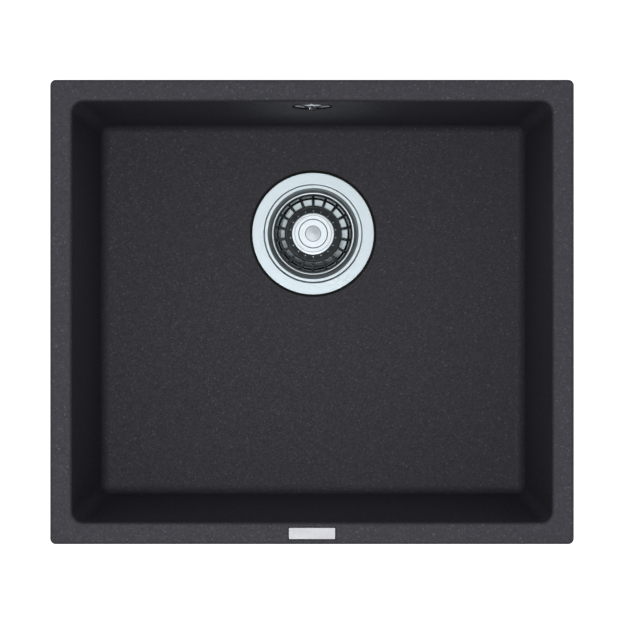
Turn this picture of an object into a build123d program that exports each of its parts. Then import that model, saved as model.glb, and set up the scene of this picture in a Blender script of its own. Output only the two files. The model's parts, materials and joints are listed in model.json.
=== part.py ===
from build123d import *
from math import atan, cos, sin, tan
import os

# Undermount kitchen sink: a cast granite-composite bowl, a basket strainer waste that is clamped
# through the bowl's floor, and an overflow that drains into the side of the waste.
# Millimetres. The origin is the centre of the rim's top face: +X right, +Y to the overflow wall, +Z up.

# Bowl and rim
rim_length = 460.0
rim_width = 408.0
rim_corner = 5.0
rim_thickness = 12.0
rim_ledge = 19.2
rim_outer_round = 2.8
rim_inner_round = 3.0
rim_under_round = 3.5
opening_corner = 10.0
bowl_depth = 190.0
wall_inset = 13.0
wall_thickness = 8.0
floor_round = 9.0
floor_thickness = 10.0
outer_bottom_round = 15.0

# Fixing lugs under the rim and their threaded inserts
lug_length = 34.0
lug_height = 22.0
lug_setback = 1.5
lug_corner = 4.0
insert_edge = 8.5
insert_radius = 4.0
insert_thread_radius = 2.5
insert_length = 12.0
insert_hole_spare = 2.0
side_insert_pitch = 220.0
end_insert_pitch = 260.0

# Bare badge plate, let into the front ledge
badge_length = 41.0
badge_width = 10.2
badge_corner = 0.8
badge_thickness = 0.8
badge_sink = 0.1
badge_gap = 0.3
badge_bevel = 0.25

# Waste hole in the floor
drain_offset = 71.0
drain_hole_radius = 45.0
drain_boss_margin = 4.5
drain_boss_height = 5.0

# Strainer cup, pressed steel
flange_proud = 0.4
flange_gap = 1.5
flange_land = 10.6
flange_edge_round = 0.5
cup_sheet = 1.2
cup_step_run = 1.2
cup_ledge_width = 2.7
cup_hole_gap = 1.3
cup_depth = 30.0
cup_taper = 9.0
cup_corner = 2.5
cup_bend = 0.5
shelf_fall = 0.7
seat_margin = 0.7
seat_bend = 2.0
throat_radius = 20.5
spider_rim = 3.0
spider_hub_margin = 1.5
spider_arm_width = 7.0
spider_arms = 4

# Seals of the waste
flange_seal_thickness = 2.4
flange_seal_margin = 1.4
flange_seal_gap = 0.3
ledge_gap = 0.4
waste_gasket_thickness = 2.5

# Lift-out basket, pressed steel
basket_sheet = 0.8
basket_lip_drop = 0.8
basket_lip_gap = 4.1
basket_lip_width = 1.5
basket_neck_height = 4.6
basket_cone_run = 11.3
basket_dome_radius = 13.0
basket_dome_rise = 8.0
basket_bend = 1.0
basket_lip_round = 0.3
slot_count = 18
slot_outer_margin = 0.9
slot_inner_margin = 0.8
slot_rib = 2.5
slot_corner = 0.8
pip_radius = 1.1
pip_sink = 0.4
pip_margin = 4.1

# Basket stopper
stopper_height = 6.9
stopper_seat_gap = 0.3
stopper_overlap = 5.0
stopper_hub_radius = 11.0
stopper_hub_height = 6.0
stopper_hub_taper = 2.0
stopper_shoulder_drop = 1.7
stopper_web_drop = 3.4
stopper_edge_drop = 5.0
stopper_edge_round = 0.5
stopper_sole_width = 3.0

# Knob, stem and their fasteners
knob_radius = 19.5
knob_rise = 0.6
knob_edge = 3.4
knob_bevel = 0.8
knob_bevel_drop = 0.3
knob_under_height = 5.4
knob_under_lip = 1.0
knob_neck_radius = 7.5
knob_outer_groove_inset = 2.3
knob_outer_groove_side = 0.5
knob_inner_groove_inset = 6.1
knob_inner_groove_side = 0.8
knob_groove_turn = 45.0
knob_button_radius = 7.2
knob_button_step = 0.4
knob_button_crown = 0.3
stem_radius = 3.0
stem_grip = 8.0
stem_tip_chamfer = 0.75
stem_gap = 0.05
washer_radius = 13.0
washer_thickness = 1.0
nut_flats = 10.0
nut_height = 5.0
stem_reach = 16.0

# Clamp screw and catch ring
screw_head_gap = 1.2
screw_head_height = 3.0
screw_head_wall = 2.6
stem_play = 1.2
screw_bore_spare = 5.0
screw_collar_flats = 17.0
screw_collar_height = 2.0
screw_wall = 1.7
screw_hole_gap = 1.0
screw_tip = 1.0
screw_thread_gap = 0.05
clamp_washer_thickness = 1.0
catch_wire_radius = 0.9
catch_gap = 0.1
catch_depth = 10.0
catch_open_lift = 7.5
catch_detent = 0.25

# Waste body, moulded
waste_wall = 3.0
waste_flange_width = 9.5
waste_flange_thickness = 4.5
waste_funnel_height = 14.0
waste_hub_wall = 2.5
waste_hub_gap = 1.8
waste_hub_cover = 2.0
waste_hub_spare = 1.0
waste_hub_floor = 2.6
waste_insert_wall = 2.1
waste_insert_length = 14.0
waste_arm_width = 6.0
waste_arm_turn = 45.0
waste_arm_height = 10.0
outlet_radius = 23.9
outlet_wall = 3.9
outlet_length = 28.0
outlet_chamfer = 1.5

# Overflow: rosette, screw, gasket, housing and flat pipe
overflow_drop = 35.0
overflow_hole_radius = 14.0
rosette_overlap = 3.7
rosette_rise = 2.2
rosette_crown = 0.4
rosette_edge = 0.9
rosette_sheet = 0.7
rosette_slots = 12
rosette_slot_width = 2.4
rosette_slot_margin = 3.3
rosette_screw_gap = 0.2
overflow_screw_radius = 2.4
overflow_head_radius = 4.6
overflow_head_height = 1.2
overflow_slot_width = 1.2
overflow_slot_depth = 0.7
overflow_gasket_thickness = 1.5
overflow_gasket_width = 5.5
housing_wall = 1.8
housing_flare = 2.5
housing_head_depth = 10.0
housing_slope_drop = 32.0
housing_boss_wall = 2.0
overflow_insert_wall = 1.6
overflow_insert_length = 8.0
pipe_width = 34.0
pipe_thickness = 10.0
pipe_wall = 1.5
pipe_corner = 4.0
pipe_bend = 26.0
pipe_grip = 20.0
pipe_gap = 0.2
pipe_stop = 2.0
pipe_seal_width = 1.2
pipe_seal_length = 4.0
pipe_seal_gap = 0.05
port_rise = 4.5
port_floor = 1.1

# Bowl levels and sections
lean = atan(wall_inset / bowl_depth)
wall_run = wall_thickness / cos(lean)
floor_z = -bowl_depth
underside_z = floor_z - floor_thickness
opening_length = rim_length - 2 * rim_ledge
opening_width = rim_width - 2 * rim_ledge


def bowl_section(z, grow=0.0):
    """Rounded rectangle that the leaning walls make at height z, grown outwards by grow."""
    shrink = -z * tan(lean)
    RectangleRounded(
        opening_length - 2 * shrink + 2 * grow,
        opening_width - 2 * shrink + 2 * grow,
        opening_corner + grow,
    )


# Places of the threaded inserts: two in each side lug row, two in each end lug row
side_insert_x = rim_length / 2 - insert_edge
end_insert_y = rim_width / 2 - insert_edge
lug_depth = rim_ledge - lug_setback
lug_bottom_z = -rim_thickness - lug_height
insert_hole_depth = insert_length + insert_hole_spare
side_lugs = GridLocations(opening_length + lug_depth, side_insert_pitch, 2, 2)
end_lugs = GridLocations(end_insert_pitch, opening_width + lug_depth, 2, 2)
side_inserts = GridLocations(2 * side_insert_x, side_insert_pitch, 2, 2)
end_inserts = GridLocations(end_insert_pitch, 2 * end_insert_y, 2, 2)

# Badge place: the middle of the front ledge
badge_y = -(rim_width - rim_ledge) / 2
badge_pocket_depth = badge_thickness + badge_sink

# Waste stack, as heights above the bowl's floor: each level follows from the one it bears on
flange_under = flange_proud - cup_sheet
recess_depth = flange_seal_thickness - flange_under
cup_top_radius = drain_hole_radius - cup_hole_gap - cup_sheet
cup_bottom_radius = cup_top_radius - cup_taper
cup_ledge = flange_proud - flange_seal_thickness + ledge_gap
cup_ledge_radius = cup_top_radius + cup_ledge_width
flange_inner_radius = cup_ledge_radius + cup_step_run
flange_radius = flange_inner_radius + flange_land
flange_seal_radius = flange_inner_radius + cup_sheet + flange_seal_margin
recess_radius = flange_radius + flange_gap
shelf = -cup_depth
stopper_radius = throat_radius + stopper_overlap
seat_radius = stopper_radius + seat_margin
basket_under = shelf + stopper_seat_gap + stopper_height
basket_base = basket_under + basket_sheet
basket_dome = basket_base + basket_dome_rise
basket_dome_under = basket_dome - basket_sheet
basket_lip = cup_ledge - basket_lip_drop
basket_lip_radius = cup_top_radius - basket_lip_gap
basket_wall_radius = basket_lip_radius - basket_lip_width
basket_cone_top = basket_lip - basket_neck_height
basket_base_radius = basket_wall_radius - basket_cone_run
stopper_hub_under = basket_under - stopper_hub_height
washer_under = stopper_hub_under - washer_thickness
nut_under = washer_under - nut_height
screw_top = nut_under - screw_head_gap
screw_collar_top = screw_top - screw_head_height
screw_collar_under = screw_collar_top - screw_collar_height
spider_top = screw_collar_under - clamp_washer_thickness
spider_under = spider_top - cup_sheet
screw_bore_radius = stem_radius + stem_play
screw_shank_radius = screw_bore_radius + screw_wall
screw_hole_radius = screw_shank_radius + screw_hole_gap
spider_hub_radius = screw_collar_flats / 2 + spider_hub_margin
stem_end = screw_top - stem_reach
stem_top = basket_dome + stem_grip
catch_level = screw_top - catch_depth
catch_ring_radius = screw_bore_radius - catch_gap - catch_wire_radius
screw_bore_end = stem_end - screw_bore_spare
knob_top = basket_lip + knob_rise

# Waste body levels, as heights above the bowl's floor
boss_under = -floor_thickness - drain_boss_height
waste_top = boss_under - waste_gasket_thickness
waste_inner_radius = drain_hole_radius
waste_outer_radius = waste_inner_radius + waste_wall
waste_flange_radius = waste_outer_radius + waste_flange_width
boss_radius = waste_flange_radius + drain_boss_margin
socket_thickness = pipe_thickness + 2 * (pipe_seal_width + housing_wall)
port_level = spider_top + port_rise
funnel_top = port_level - socket_thickness / 2 - port_floor
funnel_bottom = funnel_top - waste_funnel_height
outlet_bottom = funnel_bottom - outlet_length
outlet_bore_radius = outlet_radius - outlet_wall
waste_hub_top = spider_under - waste_hub_gap
waste_insert_top = waste_hub_top - waste_hub_cover
waste_insert_under = waste_insert_top - waste_insert_length
waste_insert_radius = screw_shank_radius + screw_thread_gap
waste_insert_outer = waste_insert_radius + waste_insert_wall
waste_hub_radius = waste_insert_outer + waste_hub_wall
screw_end = waste_insert_under - screw_tip
waste_hub_bore_end = screw_end - waste_hub_spare
waste_hub_under = waste_hub_bore_end - waste_hub_floor

# Frames: the section plane through the waste's axis, and the inner face of the overflow wall
drain_axis = Axis((0, drain_offset, 0), (0, 0, 1))
drain_section = Plane(origin=(0, drain_offset, floor_z), x_dir=(1, 0, 0), z_dir=(0, -1, 0))
overflow_y = opening_width / 2 - overflow_drop * tan(lean)
overflow_face = Plane(
    origin=(0, overflow_y, -overflow_drop), x_dir=(1, 0, 0), z_dir=(0, -cos(lean), sin(lean))
)
overflow_side = Plane(
    origin=overflow_face.origin, x_dir=-overflow_face.z_dir, z_dir=overflow_face.x_dir
)
overflow_axis = Axis(overflow_face.origin, overflow_face.z_dir)
overflow_section = Plane(
    origin=overflow_face.origin, x_dir=overflow_face.x_dir, z_dir=-overflow_face.y_dir
)

# Overflow depths, measured outwards from the wall's inner face
housing_front = wall_thickness + overflow_gasket_thickness
housing_head_back = housing_front + housing_head_depth
housing_back = housing_front + socket_thickness
pipe_line = housing_front + socket_thickness / 2
housing_void_drop = housing_slope_drop + pipe_stop
pipe_start_drop = housing_void_drop + pipe_stop
overflow_insert_radius = overflow_screw_radius + screw_thread_gap
overflow_insert_outer = overflow_insert_radius + overflow_insert_wall
overflow_boss_radius = overflow_insert_outer + housing_boss_wall
overflow_insert_front = housing_front + housing_wall
rosette_radius = overflow_hole_radius + rosette_overlap
rosette_slot_ring = (rosette_radius + overflow_head_radius) / 2
rosette_slot_length = rosette_radius - overflow_head_radius - 2 * rosette_slot_margin
overflow_gasket_radius = overflow_hole_radius + overflow_gasket_width
housing_radius = overflow_gasket_radius + housing_flare


def level(height):
    """World height of a level that is given above the bowl's floor."""
    return floor_z + height


def drain_plane(height):
    """Horizontal plane on the waste's axis, at a height above the bowl's floor."""
    return Plane(origin=(0, drain_offset, level(height)))


def pipe_outline(grow=0.0, mode=Mode.ADD):
    """Outline of the flat overflow pipe, grown outwards by grow on every side."""
    RectangleRounded(pipe_width + 2 * grow, pipe_thickness + 2 * grow, pipe_corner + grow, mode=mode)


def socket_outline():
    """Outside of a socket that takes the pipe and its seal."""
    pipe_outline(pipe_seal_width + housing_wall)


# Hollow of the bowl: leaning walls, round vertical corners and a rounded floor edge
with BuildPart() as bowl_hollow:
    with BuildSketch(Plane.XY.offset(rim_thickness)):
        bowl_section(rim_thickness)
    with BuildSketch(Plane.XY.offset(floor_z)):
        bowl_section(floor_z)
    loft(ruled=True)
    fillet(bowl_hollow.faces().sort_by(Axis.Z)[0].edges(), floor_round)

# Cast bowl: rim slab, leaning outer walls, waste boss and fixing lugs, then every hollow
with BuildPart() as sink_bowl:
    with BuildSketch(Plane.XY.offset(-rim_thickness / 2)):
        bowl_section(-rim_thickness / 2, wall_run)
    with BuildSketch(Plane.XY.offset(underside_z)):
        bowl_section(underside_z, wall_run)
    loft(ruled=True)
    fillet(sink_bowl.faces().sort_by(Axis.Z)[0].edges(), outer_bottom_round)
    with BuildSketch(Plane.XY.offset(-rim_thickness)):
        RectangleRounded(rim_length, rim_width, rim_corner)
    extrude(amount=rim_thickness)
    ledge_under = sink_bowl.faces().filter_by(Axis.Z).sort_by(Axis.Z)[1]
    fillet(ledge_under.inner_wires()[0].edges(), rim_under_round)
    with BuildSketch(drain_plane(-floor_thickness)):
        Circle(boss_radius)
    extrude(amount=-drain_boss_height)
    with BuildSketch(Plane.XY.offset(-rim_thickness)):
        with side_lugs:
            RectangleRounded(lug_depth, lug_length, lug_corner)
        with end_lugs:
            RectangleRounded(lug_length, lug_depth, lug_corner)
    extrude(amount=-lug_height)
    add(bowl_hollow.part, mode=Mode.SUBTRACT)
    with Locations(drain_plane(0)):
        CounterBoreHole(drain_hole_radius, recess_radius, recess_depth)
    with BuildSketch(overflow_face):
        Circle(overflow_hole_radius)
    extrude(amount=2 * wall_thickness, both=True, mode=Mode.SUBTRACT)
    with BuildSketch(Plane.XY.offset(lug_bottom_z)):
        with side_inserts:
            Circle(insert_radius)
        with end_inserts:
            Circle(insert_radius)
    extrude(amount=insert_hole_depth, mode=Mode.SUBTRACT)
    rim_top = sink_bowl.faces().sort_by(Axis.Z)[-1]
    fillet(rim_top.outer_wire().edges(), rim_outer_round)
    rim_top = sink_bowl.faces().sort_by(Axis.Z)[-1]
    fillet(rim_top.inner_wires()[0].edges(), rim_inner_round)
    with BuildSketch(Plane.XY):
        with Locations((0, badge_y)):
            RectangleRounded(
                badge_length + 2 * badge_gap, badge_width + 2 * badge_gap, badge_corner + badge_gap
            )
    extrude(amount=-badge_pocket_depth, mode=Mode.SUBTRACT)

# Eight threaded inserts, cast into the lugs from below
with BuildPart() as rim_inserts:
    with BuildSketch(Plane.XY.offset(lug_bottom_z)):
        with side_inserts:
            Circle(insert_radius)
            Circle(insert_thread_radius, mode=Mode.SUBTRACT)
        with end_inserts:
            Circle(insert_radius)
            Circle(insert_thread_radius, mode=Mode.SUBTRACT)
    extrude(amount=insert_length)

# Bare badge plate in its pocket, just below the rim's face
with BuildPart() as badge_plate:
    with BuildSketch(Plane.XY.offset(-badge_pocket_depth)):
        with Locations((0, badge_y)):
            RectangleRounded(badge_length, badge_width, badge_corner)
    extrude(amount=badge_thickness)
    chamfer(badge_plate.faces().sort_by(Axis.Z)[-1].edges(), badge_bevel)

# Strainer cup: flange, narrow ledge, tapered cup, a shelf that falls to the stopper's flat seat, and
# the throat, with a spider for the clamp screw
with BuildPart() as strainer_cup:
    with BuildSketch(drain_section):
        with BuildLine():
            FilletPolyline(
                (flange_radius, flange_proud),
                (flange_inner_radius, flange_proud),
                (cup_ledge_radius, cup_ledge),
                (cup_top_radius, cup_ledge),
                (cup_bottom_radius, shelf + shelf_fall),
                (seat_radius, shelf),
                (throat_radius, shelf),
                (throat_radius, spider_under),
                radius=[cup_bend, cup_bend, cup_bend, cup_corner, seat_bend, cup_bend],
            )
            offset(amount=cup_sheet, side=Side.LEFT)
        make_face()
    revolve(axis=drain_axis)
    flange_top = level(flange_proud)
    flange_edges = strainer_cup.edges().filter_by_position(Axis.Z, flange_top, flange_top)
    fillet(flange_edges.sort_by(SortBy.RADIUS)[-1], flange_edge_round)
    with BuildSketch(drain_plane(spider_under)):
        Circle(throat_radius + cup_sheet)
        Circle(throat_radius - spider_rim, mode=Mode.SUBTRACT)
        Circle(spider_hub_radius)
        with PolarLocations(throat_radius / 2, spider_arms):
            Rectangle(throat_radius, spider_arm_width)
        Circle(screw_hole_radius, mode=Mode.SUBTRACT)
    extrude(amount=cup_sheet)

# Seal between the flange and the recess in the floor
with BuildPart() as strainer_seal:
    with BuildSketch(drain_plane(-recess_depth)):
        Circle(recess_radius - flange_seal_gap)
        Circle(flange_seal_radius, mode=Mode.SUBTRACT)
    extrude(amount=flange_seal_thickness)

# Gasket between the bowl's underside and the waste body
with BuildPart() as waste_gasket:
    with BuildSketch(drain_plane(waste_top)):
        Circle(waste_flange_radius)
        Circle(waste_inner_radius, mode=Mode.SUBTRACT)
    extrude(amount=waste_gasket_thickness)

# Waste body: flanged cup, funnel and outlet, a hub on arms for the clamp screw, and the overflow port
port_face = Plane(origin=(0, drain_offset, level(port_level)), x_dir=(1, 0, 0), z_dir=(0, 1, 0))
port_start = waste_outer_radius + pipe_stop
port_mouth = port_start + pipe_grip
with BuildPart() as waste_body:
    with BuildSketch(drain_section):
        with BuildLine():
            Polyline(
                (0, waste_top),
                (waste_flange_radius, waste_top),
                (waste_flange_radius, waste_top - waste_flange_thickness),
                (waste_outer_radius, waste_top - waste_flange_thickness),
                (waste_outer_radius, funnel_top),
                (outlet_radius + waste_wall, funnel_bottom),
                (outlet_radius, funnel_bottom - waste_wall),
                (outlet_radius, outlet_bottom + outlet_chamfer),
                (outlet_radius - outlet_chamfer, outlet_bottom),
                (0, outlet_bottom),
                close=True,
            )
        make_face()
    revolve(axis=drain_axis)
    with BuildSketch(port_face):
        socket_outline()
    extrude(amount=port_mouth)
    with BuildSketch(drain_section):
        with BuildLine():
            Polyline(
                (0, waste_top),
                (waste_inner_radius, waste_top),
                (waste_inner_radius, funnel_top),
                (outlet_bore_radius, funnel_bottom),
                (outlet_bore_radius, outlet_bottom),
                (0, outlet_bottom),
                close=True,
            )
        make_face()
    revolve(axis=drain_axis, mode=Mode.SUBTRACT)
    with BuildSketch(port_face):
        pipe_outline(-pipe_wall)
    extrude(amount=port_mouth, mode=Mode.SUBTRACT)
    with BuildSketch(port_face.offset(port_start)):
        pipe_outline(pipe_gap)
    extrude(amount=pipe_grip, mode=Mode.SUBTRACT)
    with BuildSketch(port_face.offset(port_mouth)):
        pipe_outline(pipe_seal_width)
    extrude(amount=-pipe_seal_length, mode=Mode.SUBTRACT)
    with BuildSketch(drain_plane(waste_hub_under)):
        Circle(waste_hub_radius)
    extrude(amount=waste_hub_top - waste_hub_under)
    with BuildSketch(drain_plane(funnel_bottom - waste_arm_height / 2)):
        with PolarLocations(outlet_radius / 2, spider_arms, start_angle=waste_arm_turn):
            Rectangle(outlet_radius - outlet_wall / 2, waste_arm_width)
    extrude(amount=waste_arm_height)
    with BuildSketch(drain_plane(waste_insert_under)):
        Circle(waste_insert_outer)
    extrude(amount=waste_insert_length, mode=Mode.SUBTRACT)
    with BuildSketch(drain_plane(waste_hub_bore_end)):
        Circle(waste_insert_radius)
    extrude(amount=waste_hub_top - waste_hub_bore_end, mode=Mode.SUBTRACT)

# Threaded insert moulded into the waste body's hub
with BuildPart() as waste_insert:
    with BuildSketch(drain_plane(waste_insert_under)):
        Circle(waste_insert_outer)
        Circle(waste_insert_radius, mode=Mode.SUBTRACT)
    extrude(amount=waste_insert_length)

# Hollow clamp screw: the basket's stem slides in its bore, which has two detent grooves
with BuildPart() as clamp_screw:
    with BuildSketch(drain_plane(screw_collar_under)):
        RegularPolygon(screw_collar_flats / 2, 6, major_radius=False)
    extrude(amount=screw_collar_height)
    with BuildSketch(drain_plane(screw_collar_top)):
        Circle(screw_bore_radius + screw_head_wall)
    extrude(amount=screw_head_height)
    with BuildSketch(drain_plane(screw_end)):
        Circle(screw_shank_radius)
    extrude(amount=screw_collar_under - screw_end)
    with BuildSketch(drain_plane(screw_top)):
        Circle(screw_bore_radius)
    extrude(amount=screw_bore_end - screw_top, mode=Mode.SUBTRACT)
    for detent_level in (catch_level, catch_level + catch_open_lift):
        with BuildSketch(drain_section):
            with Locations((catch_ring_radius + catch_detent, detent_level)):
                Circle(catch_wire_radius + catch_gap)
        revolve(axis=drain_axis, mode=Mode.SUBTRACT)

# Washer under the clamp screw's collar
with BuildPart() as clamp_washer:
    with BuildSketch(drain_plane(spider_top)):
        Circle(screw_collar_flats / 2)
        Circle(screw_hole_radius, mode=Mode.SUBTRACT)
    extrude(amount=clamp_washer_thickness)

# Basket: flat lip, short neck, slotted cone, and a raised base whose sloping side has a ring of pips
slot_outer = basket_wall_radius - basket_sheet - slot_outer_margin
slot_inner = basket_base_radius + slot_inner_margin
pip_ring = basket_base_radius - pip_margin
pip_rise = pip_margin * basket_dome_rise / (basket_base_radius - basket_dome_radius)
pip_level = basket_base + pip_rise - pip_sink
slot_start = 180 / slot_count
with BuildPart() as basket_cup:
    with BuildSketch(drain_section):
        with BuildLine():
            FilletPolyline(
                (basket_lip_radius, basket_lip),
                (basket_wall_radius, basket_lip),
                (basket_wall_radius - basket_sheet, basket_cone_top),
                (basket_base_radius, basket_base),
                (basket_dome_radius, basket_dome),
                (stem_radius + stem_gap, basket_dome),
                radius=basket_bend,
            )
            offset(amount=basket_sheet, side=Side.LEFT)
        make_face()
    revolve(axis=drain_axis)
    lip_top = level(basket_lip)
    lip_edges = basket_cup.edges().filter_by_position(Axis.Z, lip_top, lip_top)
    fillet(lip_edges.sort_by(SortBy.RADIUS)[-1], basket_lip_round)
    with BuildSketch(drain_plane(basket_under)) as slot_ring:
        Circle(slot_outer)
        Circle(slot_inner, mode=Mode.SUBTRACT)
        with PolarLocations((slot_outer + slot_inner) / 2, slot_count, start_angle=slot_start):
            Rectangle(2 * (slot_outer - slot_inner), slot_rib, mode=Mode.SUBTRACT)
        fillet(slot_ring.vertices(), slot_corner)
    extrude(amount=basket_lip - basket_under, mode=Mode.SUBTRACT)
    with Locations(drain_plane(pip_level)):
        with PolarLocations(pip_ring, slot_count, start_angle=slot_start):
            Sphere(pip_radius)

# Rubber stopper below the basket: a hub and a flared lip that closes on the shelf
stopper_lip = basket_under - stopper_height
with BuildPart() as basket_seal:
    with BuildSketch(drain_section):
        with BuildLine():
            Polyline(
                (stem_radius + stem_gap, basket_dome_under),
                (stopper_hub_radius, basket_dome_under),
                (stopper_hub_radius + stopper_hub_taper, basket_under - stopper_shoulder_drop),
                (throat_radius, basket_under - stopper_web_drop),
                (stopper_radius - stopper_edge_round, basket_under - stopper_edge_drop),
                (stopper_radius, basket_under - stopper_edge_drop - stopper_edge_round),
                (stopper_radius - stopper_edge_round, stopper_lip),
                (stopper_radius - stopper_sole_width, stopper_lip),
                (throat_radius, stopper_hub_under),
                (stem_radius + stem_gap, stopper_hub_under),
                close=True,
            )
        make_face()
    revolve(axis=drain_axis)

# Knob: a turned disc on a neck, with two turned vee grooves and a slightly crowned button in a third
knob_rim_under = knob_top - knob_edge
knob_grooves = [
    (knob_radius - knob_outer_groove_inset, knob_outer_groove_side),
    (knob_radius - knob_inner_groove_inset, knob_inner_groove_side),
]
with BuildPart() as basket_knob:
    with BuildSketch(drain_section):
        with BuildLine():
            Polyline(
                (0, basket_dome),
                (knob_neck_radius, basket_dome),
                (knob_neck_radius, knob_rim_under - knob_under_height),
                (knob_radius - knob_under_lip, knob_rim_under),
                (knob_radius, knob_rim_under),
                (knob_radius, knob_top - knob_bevel_drop),
                (knob_radius - knob_bevel, knob_top),
                (knob_button_radius + knob_button_step, knob_top),
                (knob_button_radius, knob_top - knob_button_step),
                (knob_button_radius - knob_button_step, knob_top),
                (0, knob_top + knob_button_crown),
                close=True,
            )
        make_face()
    revolve(axis=drain_axis)
    with BuildSketch(drain_section):
        for groove_radius, groove_side in knob_grooves:
            with Locations((groove_radius, knob_top)):
                Rectangle(groove_side, groove_side, rotation=knob_groove_turn)
    revolve(axis=drain_axis, mode=Mode.SUBTRACT)
    with BuildSketch(drain_plane(basket_dome)):
        Circle(stem_radius + stem_gap)
    extrude(amount=stem_grip, mode=Mode.SUBTRACT)

# Stem: from the knob through basket, stopper, washer and nut into the clamp screw's bore
with BuildPart() as basket_stem:
    with BuildSketch(drain_plane(stem_end)):
        Circle(stem_radius)
    extrude(amount=stem_top - stem_end)
    chamfer(basket_stem.faces().sort_by(Axis.Z)[0].edges(), stem_tip_chamfer)
    with BuildSketch(drain_section):
        with Locations((catch_ring_radius, catch_level)):
            Circle(catch_wire_radius + catch_gap)
    revolve(axis=drain_axis, mode=Mode.SUBTRACT)

# Elastic catch ring in the stem's groove
with BuildPart() as catch_ring:
    with BuildSketch(drain_section):
        with Locations((catch_ring_radius, catch_level)):
            Circle(catch_wire_radius)
    revolve(axis=drain_axis)

# Washer and nut that hold the stopper against the basket
with BuildPart() as basket_washer:
    with BuildSketch(drain_plane(washer_under)):
        Circle(washer_radius)
        Circle(stem_radius + stem_gap, mode=Mode.SUBTRACT)
    extrude(amount=washer_thickness)

with BuildPart() as basket_nut:
    with BuildSketch(drain_plane(nut_under)):
        RegularPolygon(nut_flats / 2, 6, major_radius=False)
        Circle(stem_radius + stem_gap, mode=Mode.SUBTRACT)
    extrude(amount=nut_height)

# Overflow rosette: a slotted dome that stands on the bowl's wall
with BuildPart() as overflow_rosette:
    with BuildSketch(overflow_section):
        with BuildLine():
            Polyline((0, 0), (rosette_radius, 0), (rosette_radius, rosette_edge))
            SagittaArc((rosette_radius, rosette_edge), (overflow_head_radius, rosette_rise), -rosette_crown)
            Polyline((overflow_head_radius, rosette_rise), (0, rosette_rise), (0, 0))
        make_face()
    revolve(axis=overflow_axis)
    back_face = overflow_rosette.faces().sort_by(Axis.Y)[-1]
    offset(amount=-rosette_sheet, openings=back_face)
    with BuildSketch(overflow_face):
        Circle(overflow_screw_radius + rosette_screw_gap)
        with PolarLocations(rosette_slot_ring, rosette_slots):
            SlotOverall(rosette_slot_length, rosette_slot_width)
    extrude(amount=2 * rosette_rise, mode=Mode.SUBTRACT)

# Screw through the rosette into the housing's insert
overflow_screw_end = overflow_insert_front + overflow_insert_length
with BuildPart() as overflow_screw:
    with BuildSketch(overflow_face.offset(rosette_rise)):
        Circle(overflow_head_radius)
    extrude(amount=overflow_head_height)
    fillet(overflow_screw.faces().sort_by(Axis.Y)[0].edges(), overflow_head_height / 2)
    with BuildSketch(overflow_face.offset(rosette_rise)):
        Circle(overflow_screw_radius)
    extrude(amount=-(rosette_rise + overflow_screw_end))
    with BuildSketch(overflow_face.offset(rosette_rise + overflow_head_height)):
        Rectangle(2 * overflow_head_radius, overflow_slot_width)
        Rectangle(overflow_slot_width, 2 * overflow_head_radius)
        Circle(overflow_head_radius / 2, mode=Mode.INTERSECT)
    extrude(amount=-overflow_slot_depth, mode=Mode.SUBTRACT)

# Gasket between the wall's outer face and the housing
with BuildPart() as overflow_gasket:
    with BuildSketch(overflow_face.offset(-housing_front)):
        Circle(overflow_gasket_radius)
        Circle(overflow_hole_radius, mode=Mode.SUBTRACT)
    extrude(amount=overflow_gasket_thickness)

# Overflow housing: a round-headed box behind the wall, with a socket for the pipe at its foot
pipe_face = Plane(
    origin=overflow_side.from_local_coords((pipe_line, -pipe_start_drop)),
    x_dir=overflow_face.x_dir,
    z_dir=-overflow_face.y_dir,
)


def housing_side(inset, foot_drop):
    """Corners of the side outline: shallow at the head, deepening to the pipe's socket."""
    return [
        (housing_front + inset, housing_radius),
        (housing_head_back - inset, housing_radius),
        (housing_back - inset, -housing_slope_drop),
        (housing_back - inset, -foot_drop),
        (housing_front + inset, -foot_drop),
    ]


def housing_front_outline(inset, foot_drop):
    """Front outline: half-round head with straight sides below it."""
    Circle(housing_radius - inset)
    with Locations((0, -foot_drop / 2)):
        Rectangle(2 * (housing_radius - inset), foot_drop)


with BuildPart() as housing_void:
    with BuildSketch(overflow_face.offset(-housing_front)):
        housing_front_outline(housing_wall, housing_void_drop)
    extrude(amount=-socket_thickness)
    with BuildSketch(overflow_side):
        with BuildLine():
            Polyline(*housing_side(housing_wall, housing_void_drop), close=True)
        make_face()
    extrude(amount=housing_radius, both=True, mode=Mode.INTERSECT)

with BuildPart() as overflow_housing:
    with BuildSketch(overflow_face.offset(-housing_front)):
        housing_front_outline(0, pipe_start_drop)
    extrude(amount=-socket_thickness)
    with BuildSketch(overflow_side):
        with BuildLine():
            Polyline(*housing_side(0, pipe_start_drop), close=True)
        make_face()
    extrude(amount=housing_radius, both=True, mode=Mode.INTERSECT)
    with BuildSketch(pipe_face):
        socket_outline()
    extrude(amount=pipe_grip)
    add(housing_void.part, mode=Mode.SUBTRACT)
    with BuildSketch(overflow_face.offset(-housing_front)):
        Circle(overflow_hole_radius)
    extrude(amount=-housing_wall, mode=Mode.SUBTRACT)
    with BuildSketch(overflow_face.offset(-overflow_insert_front)):
        Circle(overflow_boss_radius)
    extrude(amount=-(overflow_insert_length + housing_boss_wall))
    with BuildSketch(overflow_face.offset(-overflow_insert_front)):
        Circle(overflow_insert_outer)
    extrude(amount=-overflow_insert_length, mode=Mode.SUBTRACT)
    with BuildSketch(pipe_face.offset(-2 * pipe_stop)):
        pipe_outline(-pipe_wall)
    extrude(amount=2 * pipe_stop, mode=Mode.SUBTRACT)
    with BuildSketch(pipe_face):
        pipe_outline(pipe_gap)
    extrude(amount=pipe_grip, mode=Mode.SUBTRACT)
    with BuildSketch(pipe_face.offset(pipe_grip)):
        pipe_outline(pipe_seal_width)
    extrude(amount=-pipe_seal_length, mode=Mode.SUBTRACT)

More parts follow.
